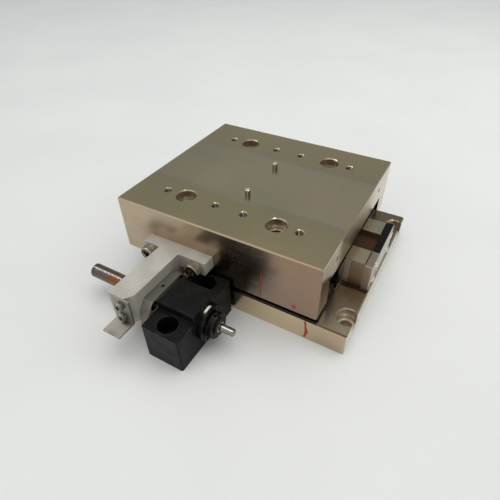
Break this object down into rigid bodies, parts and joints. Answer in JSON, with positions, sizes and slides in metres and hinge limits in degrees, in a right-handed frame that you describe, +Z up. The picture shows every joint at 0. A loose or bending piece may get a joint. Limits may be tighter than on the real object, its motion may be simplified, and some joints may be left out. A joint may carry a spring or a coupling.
{
  "type": "motorized linear stage",
  "caption": "Linear stage: a slide table on crossed-roller guides over a ribbed base, moved by a ball screw through a side bracket, with a bearing block at the drive end.",
  "frame": {"origin": "centre of the base plate's bottom face", "axes": "+X along the travel, towards the drive end of the screw; +Y away from the drive side; +Z up, out of the table top"},
  "size_m": [0.1399, 0.1652, 0.0537],
  "materials": {
    "plated_steel": "satin nickel plate over ground steel",
    "ground_steel": "ground",
    "cage_brass": "bare strip",
    "blasted_metal": "bead blasted and plated",
    "nut_steel": "fine ground",
    "screw_steel": "polished, slightly stained",
    "bearing_steel": "polished",
    "black_oxide": "black oxide, satin",
    "stainless_screws": "bright",
    "black_screws": "black oxide",
    "wiper_plastic": "moulded",
    "sheet_steel": "rolled sheet"
  },
  "bodies": {
    "base": {"base_plate": "plated_steel", "inner_rail_front": "ground_steel", "inner_rail_rear": "ground_steel", "inner_rail_screws": "black_screws", "end_plates_front": "ground_steel", "end_plates_rear": "black_oxide", "end_plate_screws": "stainless_screws", "support_housing": "black_oxide", "bearing_outer_rings": "bearing_steel", "bearing_balls": "bearing_steel", "bearing_cover": "black_oxide", "cover_screws": "black_screws"},
    "table": {"slide_table": "plated_steel", "outer_rail_front": "ground_steel", "outer_rail_rear": "ground_steel", "outer_rail_screws": "black_screws", "rail_end_screws": "black_screws", "preload_screws": "black_screws", "locating_pins": "stainless_screws", "nut_bracket": "blasted_metal", "bracket_screws": "stainless_screws", "ball_nut": "nut_steel", "nut_wiper": "wiper_plastic", "nut_screws": "black_screws", "grease_plug": "black_screws", "sensor_flag": "sheet_steel", "flag_screws": "stainless_screws"},
    "front_cage": {"cage_front": "cage_brass", "rollers_front": "ground_steel"},
    "rear_cage": {"cage_rear": "cage_brass", "rollers_rear": "ground_steel"},
    "screw": {"screw_shaft": "screw_steel", "shaft_collar": "black_oxide", "shaft_sleeve": "screw_steel", "bearing_inner_rings": "bearing_steel", "lock_nut": "screw_steel", "lock_nut_screw": "black_screws"}
  },
  "joints": [
    {"name": "table_slide", "type": "slide", "parent": "base", "child": "table", "axis": [1, 0, 0], "range_m": [-0.03, 0.0005]},
    {"name": "front_cage_slide", "type": "slide", "parent": "base", "child": "front_cage", "axis": [1, 0, 0], "range_m": [-0.0152, 0.0004]},
    {"name": "rear_cage_slide", "type": "slide", "parent": "base", "child": "rear_cage", "axis": [1, 0, 0], "range_m": [-0.0152, 0.0004]},
    {"name": "screw_turn", "type": "hinge", "parent": "base", "child": "screw", "pos_m": [0, -0.079, 0.014], "axis": [1, 0, 0], "range_deg": [-200, 10820]}
  ],
  "couplings": [
    {"joint": "front_cage_slide", "follows": "table_slide", "ratio": 0.5},
    {"joint": "rear_cage_slide", "follows": "table_slide", "ratio": 0.5},
    {"joint": "screw_turn", "follows": "table_slide", "rad_per_m": -6283.2}
  ]
}
